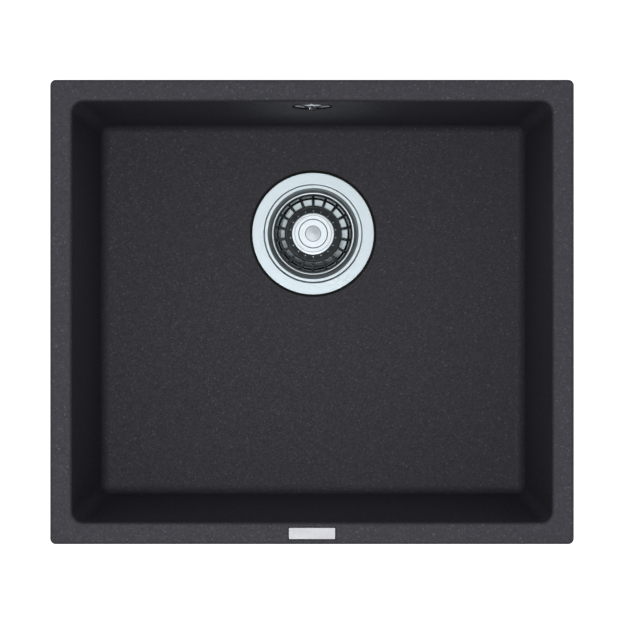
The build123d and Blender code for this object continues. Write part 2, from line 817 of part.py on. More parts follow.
# Threaded insert in the housing's boss
with BuildPart() as overflow_insert:
    with BuildSketch(overflow_face.offset(-overflow_insert_front)):
        Circle(overflow_insert_outer)
        Circle(overflow_insert_radius, mode=Mode.SUBTRACT)
    extrude(amount=-overflow_insert_length)

# Flat overflow pipe: down behind the wall, one bend, and forward into the waste body's port
pipe_start = pipe_face.origin
pipe_end = Vector(0, drain_offset + port_start, level(port_level))
pipe_turn = Vector(0, pipe_start.Y - (pipe_start.Z - pipe_end.Z) * tan(lean), pipe_end.Z)
with BuildPart() as overflow_pipe:
    with BuildLine() as pipe_route:
        FilletPolyline(pipe_start, pipe_turn, pipe_end, radius=pipe_bend)
    with BuildSketch(pipe_face):
        pipe_outline()
        pipe_outline(-pipe_wall, Mode.SUBTRACT)
    sweep()


def pipe_seal_outline():
    """Ring that fills the gap between the pipe and a socket's mouth."""
    pipe_outline(pipe_seal_width)
    pipe_outline(pipe_seal_gap, Mode.SUBTRACT)


# Lip seals in the two socket mouths
with BuildPart() as overflow_upper_seal:
    with BuildSketch(pipe_face.offset(pipe_grip)):
        pipe_seal_outline()
    extrude(amount=-pipe_seal_length)

with BuildPart() as overflow_lower_seal:
    with BuildSketch(port_face.offset(port_mouth)):
        pipe_seal_outline()
    extrude(amount=-pipe_seal_length)

# One file for each piece
pieces = {
    "sink_bowl": sink_bowl,
    "badge_plate": badge_plate,
    "rim_inserts": rim_inserts,
    "strainer_cup": strainer_cup,
    "strainer_seal": strainer_seal,
    "waste_gasket": waste_gasket,
    "waste_body": waste_body,
    "waste_insert": waste_insert,
    "clamp_screw": clamp_screw,
    "clamp_washer": clamp_washer,
    "basket_cup": basket_cup,
    "basket_knob": basket_knob,
    "basket_stem": basket_stem,
    "basket_seal": basket_seal,
    "basket_washer": basket_washer,
    "basket_nut": basket_nut,
    "catch_ring": catch_ring,
    "overflow_rosette": overflow_rosette,
    "overflow_screw": overflow_screw,
    "overflow_gasket": overflow_gasket,
    "overflow_housing": overflow_housing,
    "overflow_insert": overflow_insert,
    "overflow_pipe": overflow_pipe,
    "overflow_upper_seal": overflow_upper_seal,
    "overflow_lower_seal": overflow_lower_seal,
}
os.makedirs("parts", exist_ok=True)
for name, piece in pieces.items():
    piece.part.label = name
    export_step(piece.part, f"parts/{name}.step")
    box = piece.part.bounding_box()
    print(f"{name}: {piece.part.volume / 1000:.2f} cm3, z {box.min.Z:.2f} to {box.max.Z:.2f}")
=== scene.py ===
# %% [markdown]
# # A granite kitchen sink, finished in Blender
# The CAD model arrives with every piece at its real size and place. It is the fixed frame of this
# lesson: nothing in it is moved. What is left to do is what a photographer and a finisher would do,
# which is to set the camera and the lights, give every surface its own finish, and add the few small
# forms, such as a thread and a moulded stopper, that are easier to make as a surface from a formula.

# %% Load the frame
import json

import bpy
import numpy as np
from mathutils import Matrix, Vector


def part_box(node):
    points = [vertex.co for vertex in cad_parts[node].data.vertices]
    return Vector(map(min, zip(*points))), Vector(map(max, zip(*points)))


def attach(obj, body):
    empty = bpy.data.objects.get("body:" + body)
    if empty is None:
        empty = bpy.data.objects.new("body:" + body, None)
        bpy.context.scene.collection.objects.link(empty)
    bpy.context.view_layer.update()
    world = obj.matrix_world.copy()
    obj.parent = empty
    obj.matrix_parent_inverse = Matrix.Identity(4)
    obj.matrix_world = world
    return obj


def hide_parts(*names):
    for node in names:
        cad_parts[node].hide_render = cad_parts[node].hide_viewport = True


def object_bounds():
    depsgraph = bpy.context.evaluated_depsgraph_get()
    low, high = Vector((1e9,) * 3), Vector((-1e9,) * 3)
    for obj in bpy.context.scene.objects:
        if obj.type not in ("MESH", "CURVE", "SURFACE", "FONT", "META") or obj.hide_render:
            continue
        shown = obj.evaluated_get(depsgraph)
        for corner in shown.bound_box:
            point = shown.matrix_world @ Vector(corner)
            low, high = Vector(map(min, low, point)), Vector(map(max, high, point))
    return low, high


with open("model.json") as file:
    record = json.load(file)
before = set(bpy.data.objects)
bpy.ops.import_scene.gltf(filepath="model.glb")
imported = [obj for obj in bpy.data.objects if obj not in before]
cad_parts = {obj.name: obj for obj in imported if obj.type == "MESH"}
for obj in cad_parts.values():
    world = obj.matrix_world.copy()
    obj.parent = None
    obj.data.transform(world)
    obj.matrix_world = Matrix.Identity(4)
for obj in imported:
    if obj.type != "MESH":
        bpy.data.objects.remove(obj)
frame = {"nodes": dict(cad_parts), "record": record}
cad_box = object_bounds()
nodes = frame["nodes"]
scene = bpy.context.scene
print("CAD pieces:", len(nodes), "box", [round(v, 4) for corner in cad_box for v in corner])

# %% [markdown]
# ## The camera
# The sink is seen straight from above by a long lens, so the walls show only as a narrow band and
# the rim keeps its corners square. An unturned camera in Blender already looks straight down, along
# -Z, so it needs no rotation. The lens follows from the width of the view at the rim. The uneven
# bands of the four walls tell that the camera stands a little to the back and to the right, and a
# small lens shift keeps the rim in the middle of the frame all the same. The Standard view
# transform shows the colours as they are, without the look of film.

# %% Camera above the rim
SENSOR_WIDTH = 36.0
VIEW_WIDTH = 0.5476
CAMERA_HEIGHT = 2.872
CAMERA_FOOT = (0.0155, 0.0356)

camera_data = bpy.data.cameras.new("camera")
camera_data.sensor_width = SENSOR_WIDTH
camera_data.lens = SENSOR_WIDTH * CAMERA_HEIGHT / VIEW_WIDTH
camera_data.shift_x = -CAMERA_FOOT[0] / VIEW_WIDTH
camera_data.shift_y = -CAMERA_FOOT[1] / VIEW_WIDTH
camera = bpy.data.objects.new("camera", camera_data)
camera.location = (*CAMERA_FOOT, CAMERA_HEIGHT)
scene.collection.objects.link(camera)
scene.camera = camera
scene.view_settings.view_transform = "Standard"
print(f"lens {camera_data.lens:.1f} mm, shift {camera_data.shift_x:.4f} {camera_data.shift_y:.4f}")

# %% [markdown]
# ## The room
# A world in Blender is a tree of nodes, as a material is. Adding and linking nodes one by one hides
# the idea, so one helper adds a node and fills its sockets: a socket's entry is a plain value, or
# another node's output, which is then linked. The Light Path node tells rays that come from the
# camera from those that light the sink. The camera sees the room as white, and the sink gets only a
# faint, even light from it.

# %% Room
ROOM_LIGHT = 0.06
WHITE = (1, 1, 1, 1)


def add_node(tree, kind, sockets=None, **settings):
    """Adds a node of that kind; each socket entry is a plain value, or an output that gets linked."""
    node = tree.nodes.new("ShaderNode" + kind)
    for key, value in settings.items():
        setattr(node, key, value)
    for key, value in (sockets or {}).items():
        if isinstance(value, bpy.types.NodeSocket):
            tree.links.new(value, node.inputs[key])
        else:
            node.inputs[key].default_value = value
    return node


def spread(tree, factor, low, high):
    """A number that goes from low to high while factor goes from 0 to 1."""
    return add_node(tree, "MapRange", {"Value": factor, "To Min": low, "To Max": high}).outputs["Result"]


world = bpy.data.worlds.new("studio")
world.use_nodes = True
scene.world = world
tree = world.node_tree
background = tree.nodes["Background"]
background.inputs["Color"].default_value = WHITE
seen = add_node(tree, "LightPath").outputs["Is Camera Ray"]
tree.links.new(spread(tree, seen, ROOM_LIGHT, 1.0), background.inputs["Strength"])
print(f"room: {len(tree.nodes)} nodes, light {ROOM_LIGHT}")

# %% [markdown]
# ## The floor
# The sink is shown on plain white. The floor's paint glows for the camera alone, so the white is
# even and yet doesn't light the sink's rim from outside. Its underside lets the view through, so a
# camera below the floor still sees the waste kit. Every finish in this lesson starts from the
# Principled shader. What is the same all over a surface, such as how metallic it is, is set straight
# on the shader's socket. What varies is linked from a texture.

# %% Floor paint
FLOOR_GREY = (0.6, 0.6, 0.6, 1)
FLOOR_ROUGH = 0.9


def new_finish(name, constants):
    """A material with a Principled shader, whose constants are set on the sockets of those names."""
    material = bpy.data.materials.new(name)
    material.use_nodes = True
    shader = material.node_tree.nodes["Principled BSDF"]
    for key, value in constants.items():
        shader.inputs[key].default_value = value
    return material, material.node_tree, shader


floor_paint, tree, shader = new_finish("floor_paint", {
    "Base Color": FLOOR_GREY, "Emission Color": WHITE, "Roughness": FLOOR_ROUGH})
seen = add_node(tree, "LightPath").outputs["Is Camera Ray"]
tree.links.new(seen, shader.inputs["Emission Strength"])
clear = add_node(tree, "BsdfTransparent").outputs["BSDF"]
underside = add_node(tree, "NewGeometry").outputs["Backfacing"]
sided = add_node(tree, "MixShader", {0: underside, 1: shader.outputs["BSDF"], 2: clear})
tree.links.new(sided.outputs["Shader"], tree.nodes["Material Output"].inputs["Surface"])
print(f"floor_paint: {len(tree.nodes)} nodes")

# %% [markdown]
# The floor itself is one square face. It lies a few millimetres below the outlet and is so wide that
# its edge is never seen.

# %% Floor
FLOOR_GAP = 0.004
FLOOR_REACH = 30.0
floor_z = cad_box[0].z - FLOOR_GAP

corners = FLOOR_REACH * np.array([(-1, -1), (1, -1), (1, 1), (-1, 1)])
floor_mesh = bpy.data.meshes.new("floor")
floor_mesh.from_pydata(np.column_stack([corners, np.full(4, floor_z)]).tolist(), [], [(0, 1, 2, 3)])
floor_mesh.materials.append(floor_paint)
floor = bpy.data.objects.new("floor", floor_mesh)
scene.collection.objects.link(floor)
print(f"floor at z {floor_z:.4f} m")

# %% [markdown]
# ## Light
# Dark stone needs much light from above, in which bright steel would burn out. A photographer lights
# stone and steel one after the other and joins the shots. Light linking, which lets a light shine on
# one collection of pieces alone, does the same in one render. The pieces are sorted first: the bright
# steel, the chrome, and all the matt ones together with the floor.

# %% Groups for the lights
bright_steel = bpy.data.collections.new("bright_steel")
chrome = bpy.data.collections.new("chrome")
matt_pieces = bpy.data.collections.new("matt_pieces")
LIT_APART = {
    bright_steel: ["strainer_cup", "basket_cup", "basket_knob", "badge_plate"],
    chrome: ["overflow_rosette", "overflow_screw"],
}

for collection, names in LIT_APART.items():
    for name in names:
        collection.objects.link(nodes[name])
for name in sorted(set(nodes) - set(sum(LIT_APART.values(), []))):
    matt_pieces.objects.link(nodes[name])
matt_pieces.objects.link(floor)

# %% [markdown]
# Over the stone hangs a very wide, dim panel, which stands for a bright room: the deeper a point lies
# in the bowl, the less of it is seen from there, so the walls darken towards their foot. A small,
# strong panel reaches straight down to the floor of the bowl. A third one lies on the floor and faces
# up, as white paper would throw light back on the underside. A panel's power is its radiance times pi
# times its area, so a resized panel keeps its brightness.

# %% Lights on the stone


def panel_light(name, size, place, radiance, receivers, colour=(1, 1, 1), tilt=0, turn=0):
    """A rectangular soft light on the receivers' pieces, whose power is radiance times pi times area.

    It faces down. Tilt lifts its face and turn swings it round the upright, both in degrees.
    """
    data = bpy.data.lights.new(name, "AREA")
    data.shape = "RECTANGLE"
    data.size, data.size_y = size
    data.energy = radiance * np.pi * size[0] * size[1]
    data.color = colour
    light = bpy.data.objects.new(name, data)
    light.location = place
    light.rotation_euler = np.radians((tilt, 0, turn))
    light.visible_camera = False
    scene.collection.objects.link(light)
    light.light_linking.receiver_collection = receivers
    print(f"{name}: {data.energy:.0f} W")


panel_light("room_panel", size=(30, 30), place=(0, 0, 3.3), radiance=0.41, receivers=matt_pieces)
panel_light("overhead_panel", size=(0.5, 0.5), place=(-0.2, -0.2, 3.2), radiance=26.0,
            receivers=matt_pieces)
panel_light("floor_bounce", size=(6, 6), place=(0, 0, floor_z + FLOOR_GAP / 2), radiance=0.9,
            receivers=matt_pieces, tilt=180)

# %% [markdown]
# Bare steel only mirrors what is around it, so it gets a softbox of its own, front left. Its edge
# stops just short of the zenith: a polished flat face, which mirrors the camera's own place, then
# turns dark, while satin faces still gather enough of the softbox to look bright. A small panel joins
# on past the zenith, so the polished shelf deep in the strainer is bright further round. Four panels
# at the sides, 45 degrees up, keep the steel bright when it is seen at a slant.

# %% Lights on the steel
COOL_WHITE = (0.93, 0.98, 1.0)
STEEL_RADIANCE = 2.34
SOFTBOX_SIZE = (9.9, 4.4)
SOFTBOX_HEIGHT = 8.0
SOFTBOX_NEAR = 0.03
SOFTBOX_TURN = -38
CORNER_SIZE = (0.87, 0.80)
CORNER_SHIFT = 0.545
SIDE_SIZE = (5, 2)
SIDE_REACH = 4.0
SIDE_RADIANCE = 2.6


def softbox_place(along, outward):
    """A place in the softbox's plane: so far along its near edge, and so far outward from the zenith.

    Both directions are turned round the upright by SOFTBOX_TURN, through its sine and cosine.
    """
    sine, cosine = np.sin(np.radians(SOFTBOX_TURN)), np.cos(np.radians(SOFTBOX_TURN))
    return outward * sine + along * cosine, along * sine - outward * cosine, SOFTBOX_HEIGHT


softbox_middle = softbox_place(0, SOFTBOX_NEAR + SOFTBOX_SIZE[1] / 2)
corner_middle = softbox_place(CORNER_SHIFT, SOFTBOX_NEAR - CORNER_SIZE[1] / 2)
panel_light("steel_softbox", size=SOFTBOX_SIZE, place=softbox_middle, radiance=STEEL_RADIANCE,
            receivers=bright_steel, colour=COOL_WHITE, turn=SOFTBOX_TURN)
panel_light("steel_corner", size=CORNER_SIZE, place=corner_middle, radiance=STEEL_RADIANCE,
            receivers=bright_steel, colour=COOL_WHITE, turn=SOFTBOX_TURN)
for turn in (0, 90, 180, 270):
    place = (SIDE_REACH * np.sin(np.radians(turn)), -SIDE_REACH * np.cos(np.radians(turn)), SIDE_REACH)
    panel_light(f"side_panel_{turn}", size=SIDE_SIZE, place=place, radiance=SIDE_RADIANCE,
                receivers=bright_steel, colour=COOL_WHITE, tilt=45, turn=turn)

# %% [markdown]
# The chrome of the overflow stands upright in the back wall. The same softbox, much dimmer, gives it
# its soft grey, and a small bright panel from the left gives it the sharp glints of polished chrome.

# %% Lights on the chrome
panel_light("chrome_softbox", size=SOFTBOX_SIZE, place=softbox_middle, radiance=0.4, receivers=chrome,
            colour=COOL_WHITE, turn=SOFTBOX_TURN)
panel_light("chrome_spot", size=(1.2, 1.2), place=(-4, -0.5, 3), radiance=8.0, receivers=chrome,
            colour=COOL_WHITE, tilt=55, turn=-90)

# %% [markdown]
# ## Granite
# Composite granite is quartz grains in a dark resin. A picture of it would have to be wrapped round
# the bowl and would show seams. A Voronoi texture on the bowl's own coordinates has none, and gives
# each grain its own random tone: most are close to the resin's anthracite, a few are paler, and the
# paler ones are a little smoother too.

# %% Granite grains
GRAINS_PER_METRE = 900.0
GRAIN_TONES = (
    (0.0, (0.037, 0.036, 0.047)),
    (0.8, (0.049, 0.048, 0.062)),
    (0.97, (0.057, 0.056, 0.071)),
    (1.0, (0.103, 0.102, 0.124)),
)
GRAIN_ROUGH = (0.62, 0.5)


def ramp(tree, factor, *stops):
    """Colour ramp over factor; each stop is (position, colour)."""
    node = add_node(tree, "ValToRGB", {"Fac": factor})
    elements = node.color_ramp.elements
    while len(elements) < len(stops):
        elements.new(1.0)
    for element, (position, colour) in zip(elements, stops):
        element.position = position
        element.color = (*colour, 1.0)
    return node.outputs["Color"]


granite, tree, shader = new_finish("granite", {"Specular IOR Level": 0.35})
place = add_node(tree, "TexCoord").outputs["Object"]
grains = add_node(tree, "TexVoronoi", {"Vector": place, "Scale": GRAINS_PER_METRE})
tone = add_node(tree, "SeparateColor", {"Color": grains.outputs["Color"]}).outputs["Red"]
stone = ramp(tree, tone, *GRAIN_TONES)
tree.links.new(spread(tree, tone, *GRAIN_ROUGH), shader.inputs["Roughness"])
print(f"grains about {1000 / GRAINS_PER_METRE:.1f} mm wide")

# %% [markdown]
# The top of the rim is painted paler than the rest of the stone. This is painted light, standing for
# the brighter light that falls on the open rim. A second material on the top faces could show this. A
# factor that rises from 0 to 1 over a few tenths of a millimetre below the top does it within one
# material, and fades out softly over the rounded edge.

# %% Painted light on the rim
RIM_TOP_LEVEL = -0.0006
RIM_LIGHT_LIFT = 1.22


def slope(tree, value, start, end):
    """0 up to the start, 1 past the end, and an even slope between."""
    return add_node(tree, "MapRange", {"Value": value, "From Min": start, "From Max": end}).outputs["Result"]


height = add_node(tree, "SeparateXYZ", {"Vector": place}).outputs["Z"]
# Painted light: the top of the rim is made paler than the rest of the stone.
rim_top = slope(tree, height, RIM_TOP_LEVEL, RIM_TOP_LEVEL / 2)
painted_rim_light = spread(tree, rim_top, 1.0, RIM_LIGHT_LIFT)
print(f"ground above z {1000 * RIM_TOP_LEVEL:.1f} mm, {RIM_LIGHT_LIFT} times paler")

# %% [markdown]
# The small plate on the front rim lies flush in its pocket. The thin dark line that shows all round it
# is painted shade, standing for the shadow in the gap round the plate. It could be a piece of its own,
# but a tone in the stone is enough. A point belongs to the line where it lies on the rim's top and just
# outside the plate's outline: the product of two factors is 1 only where both are.

# %% Painted shade round the plate
# Width and tone of the painted shade, a dark line round the plate.
GAP_SHADE_WIDTH = 0.0009
GAP_SHADE_TONE = 0.3
plate_low, plate_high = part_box("badge_plate")
plate_middle = (plate_low + plate_high) / 2
plate_half = (plate_high - plate_low) / 2


def calculated(tree, operation, *values):
    """What a Math node of that operation gives for the values."""
    return add_node(tree, "Math", dict(enumerate(values)), operation=operation).outputs["Value"]


def product(tree, *factors):
    """The factors multiplied together."""
    total = factors[0]
    for factor in factors[1:]:
        total = calculated(tree, "MULTIPLY", total, factor)
    return total


def scaled(tree, colour, factor):
    """A colour made darker or lighter by a factor."""
    return add_node(tree, "VectorMath", {0: colour, "Scale": factor}, operation="SCALE").outputs["Vector"]


def near_plate(tree, place):
    """1 where a point lies less than GAP_SHADE_WIDTH outside the plate's outline, seen from above.

    With x and y measured from the plate's middle, the distance is the larger of |x| - length / 2 and
    |y| - width / 2.
    """
    offset = add_node(tree, "Mapping", {"Vector": place, "Location": (-plate_middle.x, -plate_middle.y, 0)})
    size = add_node(tree, "VectorMath", {0: offset.outputs["Vector"]}, operation="ABSOLUTE")
    beyond = add_node(tree, "VectorMath", {0: size.outputs["Vector"], 1: plate_half}, operation="SUBTRACT")
    parts = add_node(tree, "SeparateXYZ", {"Vector": beyond.outputs["Vector"]}).outputs
    distance = calculated(tree, "MAXIMUM", parts["X"], parts["Y"])
    return calculated(tree, "LESS_THAN", distance, GAP_SHADE_WIDTH)


# Painted shade: a dark line in the stone round the plate, standing for the shadow in its gap.
painted_gap_shade = product(tree, near_plate(tree, place), rim_top)
rim_tone = product(tree, painted_rim_light, spread(tree, painted_gap_shade, 1.0, GAP_SHADE_TONE))
tree.links.new(scaled(tree, stone, rim_tone), shader.inputs["Base Color"])
print(f"sealant round a plate of {2000 * plate_half.x:.1f} by {2000 * plate_half.y:.1f} mm")

# %% [markdown]
# Between the grains, the skin is finely pitted. A bump tilts the shading as if the surface rose and
# fell, without a single new face, which is right for pits that are well under a millimetre.

# %% Granite pits
PITS_PER_METRE = 1400.0
PIT_DEPTH = 0.0002
PIT_STRENGTH = 0.25


def bumped(tree, shader, height, depth, strength=1.0):
    """Tilts the shader's normal as if the surface stood out by height times depth metres.

    A bump that is already there stays, with the new one on top of it.
    """
    bump = add_node(tree, "Bump", {"Height": height, "Distance": depth, "Strength": strength})
    for link in shader.inputs["Normal"].links:
        tree.links.new(link.from_socket, bump.inputs["Normal"])
    tree.links.new(bump.outputs["Normal"], shader.inputs["Normal"])


pits = add_node(tree, "TexNoise", {"Vector": place, "Scale": PITS_PER_METRE, "Detail": 3.0})
bumped(tree, shader, pits.outputs["Fac"], PIT_DEPTH, PIT_STRENGTH)
print(f"granite: {len(tree.nodes)} nodes")

# %% [markdown]
# ## Steel turned on a lathe
# The flange and the knob are turned, so the tool leaves fine rings round the drain's axis. The
# distance from that axis, fed into a one-dimensional noise, gives such rings as a faint bump. The
# direction round the axis is the cross product of the upright and the offset from the axis. As the
# shader's tangent, it stretches the highlights across the rings, as on real turned steel.

# %% Rings round the drain
RINGS_PER_METRE = 2600.0
RING_STRENGTH = 0.3
RING_SHADE = 0.94
drain_low, drain_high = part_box("strainer_cup")
drain_axis = ((drain_low + drain_high) / 2).xy


def two_tones(tree, noise, dark, light):
    """Noise as a colour: it lies mostly between 0.3, for the dark tone, and 0.7, for the light one."""
    return ramp(tree, noise, (0.3, dark), (0.7, light))


def turned_rings(tree, shader, place, colour, depth):
    """Marks the shader with fine rings; returns the distance from the drain's axis and the rings' colour.

    The rings are noise over the distance, and stand out by up to depth metres.
    """
    offset = add_node(tree, "Mapping", {"Vector": place, "Location": (-drain_axis.x, -drain_axis.y, 0),
                                        "Scale": (1, 1, 0)}).outputs["Vector"]
    distance = add_node(tree, "VectorMath", {0: offset}, operation="LENGTH").outputs["Value"]
    rings = add_node(tree, "TexNoise", {"W": distance, "Scale": RINGS_PER_METRE, "Detail": 3.0},
                     noise_dimensions="1D").outputs["Fac"]
    round_axis = add_node(tree, "VectorMath", {0: (0, 0, 1), 1: offset}, operation="CROSS_PRODUCT")
    tree.links.new(round_axis.outputs["Vector"], shader.inputs["Tangent"])
    bumped(tree, shader, rings, depth, RING_STRENGTH)
    darker = tuple(RING_SHADE * channel for channel in colour)
    return distance, two_tones(tree, rings, darker, colour)


print("drain axis at", [round(v, 4) for v in drain_axis])

# %% [markdown]
# The flange and the ledge below it are left satin from the lathe, so they look bright all over. The
# wall of the cup is dulled by a matt film of lime, and the shelf deep below it is polished. The faces
# of these three zones could be picked by hand and given a material each. Here the heights of the
# basket's lip and of the wall's foot divide them, which works for any mesh of the cup.

# %% Flange, wall and shelf
LIP_DEPTH = 0.0008
WALL_DEPTH = 0.0251
BLEND = 0.0003
FLANGE_TONE = (0.70, 0.76, 0.79)
FLANGE_RINGS = 4e-5
FLANGE_ROUGH = 0.45
LIME_METALLIC = 0.2
LIME_ROUGH = 0.5
POLISHED = 0.14
lip_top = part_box("basket_cup")[1].z
lip_under = lip_top - LIP_DEPTH
wall_foot = lip_top - WALL_DEPTH


def above(tree, place, level):
    """1 above that height, 0 a little below it, and a slope over BLEND between."""
    height = add_node(tree, "SeparateXYZ", {"Vector": place}).outputs["Z"]
    return slope(tree, height, level - BLEND, level)


def opposite(tree, factor):
    """1 where the factor is 0, and 0 where it is 1."""
    return spread(tree, factor, 1.0, 0.0)


flange_steel, tree, shader = new_finish("flange_steel", {})
place = add_node(tree, "TexCoord").outputs["Object"]
distance, colour = turned_rings(tree, shader, place, FLANGE_TONE, FLANGE_RINGS)
flange = above(tree, place, lip_under)
off_shelf = above(tree, place, wall_foot)
wall = product(tree, off_shelf, opposite(tree, flange))
tree.links.new(spread(tree, wall, 1.0, LIME_METALLIC), shader.inputs["Metallic"])
cup_rough = spread(tree, wall, POLISHED, LIME_ROUGH)
tree.links.new(spread(tree, flange, cup_rough, FLANGE_ROUGH), shader.inputs["Roughness"])
print(f"wall from {wall_foot:.4f} to {lip_under:.4f} m")

# %% [markdown]
# Three tones are multiplied into the steel's colour. The shelf, deep in the cup, is darkened as
# painted shade. The wall's tone is painted darker towards its top and paler towards its foot. In
# the corner of the step from flange to ledge, painted shade draws a fine dark ring.

# %% Flange tones
SHELF_SHADE = 0.36
WALL_FOOT_TONE = 1.25
WALL_TOP_TONE = 0.62
STEP_RADIUS = 0.0457
STEP_WIDTH = 0.0013
STEP_SHADE = 0.45

# Painted shade on the shelf deep in the cup.
painted_shelf_shade = spread(tree, off_shelf, SHELF_SHADE, 1.0)
height = add_node(tree, "SeparateXYZ", {"Vector": place}).outputs["Z"]
# The wall's tone is painted darker towards its top and paler towards its foot.
wall_gradient = spread(tree, slope(tree, height, wall_foot, lip_under), WALL_FOOT_TONE, WALL_TOP_TONE)
wall_tone = spread(tree, wall, 1.0, wall_gradient)
# Painted shade: a fine dark ring in the corner of the step from flange to ledge.
in_step = calculated(tree, "COMPARE", distance, STEP_RADIUS, STEP_WIDTH / 2)
painted_step_shade = spread(tree, in_step, 1.0, STEP_SHADE)
flange_tone = product(tree, painted_shelf_shade, wall_tone, painted_step_shade)
tree.links.new(scaled(tree, colour, flange_tone), shader.inputs["Base Color"])
print(f"dark ring {2000 * STEP_RADIUS:.1f} mm across")

# %% [markdown]
# The inner half of the shelf is pressed a little flatter than the cone round it, so it mirrors another
# part of the softbox. The difference is a few tenths of a millimetre, too little to change the form,
# so a second bump gives it: its height grows evenly from a circle on the shelf towards the axis.

# %% Dished shelf
DISH_EDGE = 0.0302
DISH_SLOPE = 0.046

inward = calculated(tree, "SUBTRACT", DISH_EDGE, distance)
bumped(tree, shader, calculated(tree, "MAXIMUM", inward, 0.0), DISH_SLOPE)
print(f"flange_steel: {len(tree.nodes)} nodes")

# %% [markdown]
# The knob's three turned grooves are painted dark as shade, which draws them as fine lines. A point
# is in a groove where it lies just below the knob's face and inside its edge, so the painted shade is
# the product of three factors: below the face, above the grooves' bottom, and nearer to the axis than
# the edge. The button in the middle is painted a little darker than the rings round it.

# %% Knob steel
KNOB_TONE = (0.80, 0.83, 0.86)
KNOB_RINGS = 6e-5
KNOB_ROUGH = 0.40
FACE_DEPTH = 0.0003
GROOVE_DEPTH = 0.0012
EDGE_WIDTH = 0.001
GROOVE_SHADE_TONE = 0.12
GROOVE_ROUGH = 0.6
BUTTON_RADIUS = 0.007
BUTTON_TONE = 0.72
knob_low, knob_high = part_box("basket_knob")
knob_face = knob_high.z - FACE_DEPTH
knob_edge = (knob_high.x - knob_low.x) / 2 - EDGE_WIDTH


def nearer(tree, distance, limit):
    """1 where the distance is under the limit, else 0."""
    return calculated(tree, "LESS_THAN", distance, limit)


knob_steel, tree, shader = new_finish("knob_steel", {"Metallic": 1.0, "Anisotropic": 0.3})
place = add_node(tree, "TexCoord").outputs["Object"]
distance, colour = turned_rings(tree, shader, place, KNOB_TONE, KNOB_RINGS)
below_face = opposite(tree, above(tree, place, knob_face - BLEND / 2))
off_bottom = above(tree, place, knob_face - GROOVE_DEPTH)
# Painted shade inside the grooves.
groove_inside = product(tree, below_face, off_bottom, nearer(tree, distance, knob_edge))
# The button is painted a little darker.
button_tone = spread(tree, nearer(tree, distance, BUTTON_RADIUS), 1.0, BUTTON_TONE)
knob_tone = product(tree, button_tone, spread(tree, groove_inside, 1.0, GROOVE_SHADE_TONE))
tree.links.new(scaled(tree, colour, knob_tone), shader.inputs["Base Color"])
tree.links.new(spread(tree, groove_inside, KNOB_ROUGH, GROOVE_ROUGH), shader.inputs["Roughness"])
print(f"knob face at {knob_face:.4f} m, {len(tree.nodes)} nodes")

# %% [markdown]
# The basket is pressed from thin sheet: a satin lip, a polished cone, and a dull base and outside, as
# the press leaves them. The polishing wheel leaves the same rings as a lathe, only fainter. The base
# and the outside are also painted dark, as painted shade under the knob and on the underside. The
# outside is where the surface's own normal points down. The base is nearer to the axis than the slots,
# and only the tops of its raised pips are rubbed to a satin finish by use, and left out of the painted shade.

# %% Basket steel
BASKET_TONE = (0.70, 0.73, 0.75)
BASKET_RINGS = 2e-5
BASE_RADIUS = 0.0263
PIPS_RADIUS = 0.0245
FACES_DOWN = (-0.1, -0.3)
FACES_UP = (0.88, 0.92)
RUBBED_ROUGH = 0.42
DULL_ROUGH = 0.5
BASKET_SHADE_TONE = 0.14

basket_steel, tree, shader = new_finish("basket_steel", {"Metallic": 1.0})
coordinates = add_node(tree, "TexCoord").outputs
place = coordinates["Object"]
distance, colour = turned_rings(tree, shader, place, BASKET_TONE, BASKET_RINGS)
upright = add_node(tree, "SeparateXYZ", {"Vector": coordinates["Normal"]}).outputs["Z"]
outside = slope(tree, upright, *FACES_DOWN)
pip_tops = product(tree, slope(tree, upright, *FACES_UP), nearer(tree, distance, PIPS_RADIUS))
# Painted shade on the base and the outside, except the pips' tops.
dull_shaded_base = product(tree, nearer(tree, distance, BASE_RADIUS), opposite(tree, pip_tops))
dull_and_shaded = calculated(tree, "MAXIMUM", outside, dull_shaded_base)
satin = calculated(tree, "MAXIMUM", above(tree, place, lip_under), pip_tops)
bright_rough = spread(tree, satin, POLISHED, RUBBED_ROUGH)
tree.links.new(scaled(tree, colour, spread(tree, dull_and_shaded, 1.0, BASKET_SHADE_TONE)), shader.inputs["Base Color"])
tree.links.new(spread(tree, dull_and_shaded, bright_rough, DULL_ROUGH), shader.inputs["Roughness"])
print(f"basket_steel: {len(tree.nodes)} nodes")

# %% [markdown]
# ## Brushed plate
# The small plate on the front rim is brushed across its length. Noise that is stretched along one
# axis, by a Mapping node with a small scale there, makes the fine parallel lines.

# %% Plate
BRUSH_SCALE = (3000, 60, 60)
BRUSH_DARK = (0.44, 0.42, 0.44)
BRUSH_LIGHT = (0.51, 0.49, 0.505)
BRUSH_ROUGH = (0.32, 0.42)
BRUSH_DEPTH = 3e-5
BRUSH_STRENGTH = 0.3

badge_steel, tree, shader = new_finish("badge_steel", {"Metallic": 1.0, "Anisotropic": 0.3})
place = add_node(tree, "TexCoord").outputs["Object"]
lines = add_node(tree, "Mapping", {"Vector": place, "Scale": BRUSH_SCALE}).outputs["Vector"]
brush = add_node(tree, "TexNoise", {"Vector": lines, "Scale": 1.0, "Detail": 2.0}).outputs["Fac"]
tree.links.new(two_tones(tree, brush, BRUSH_DARK, BRUSH_LIGHT), shader.inputs["Base Color"])
tree.links.new(spread(tree, brush, *BRUSH_ROUGH), shader.inputs["Roughness"])
bumped(tree, shader, brush, BRUSH_DEPTH, BRUSH_STRENGTH)
print(f"badge_steel: {len(tree.nodes)} nodes")

# %% [markdown]
# ## Chrome, zinc and brass
# The overflow's rosette and screw are chromed: almost a mirror, with a faint haze. Metal mirrors
# more at a slant, and the camera looks along the rosette's face, so its edge is set dim to keep it
# from flashing white. The hidden fasteners are zinc-coated steel with a cloudy, spangled tone, and
# the inserts are turned brass, a little darker where it has begun to tarnish. One function makes all
# three from two tones, a range of roughness and the size of the clouds.

# %% Cloudy metals


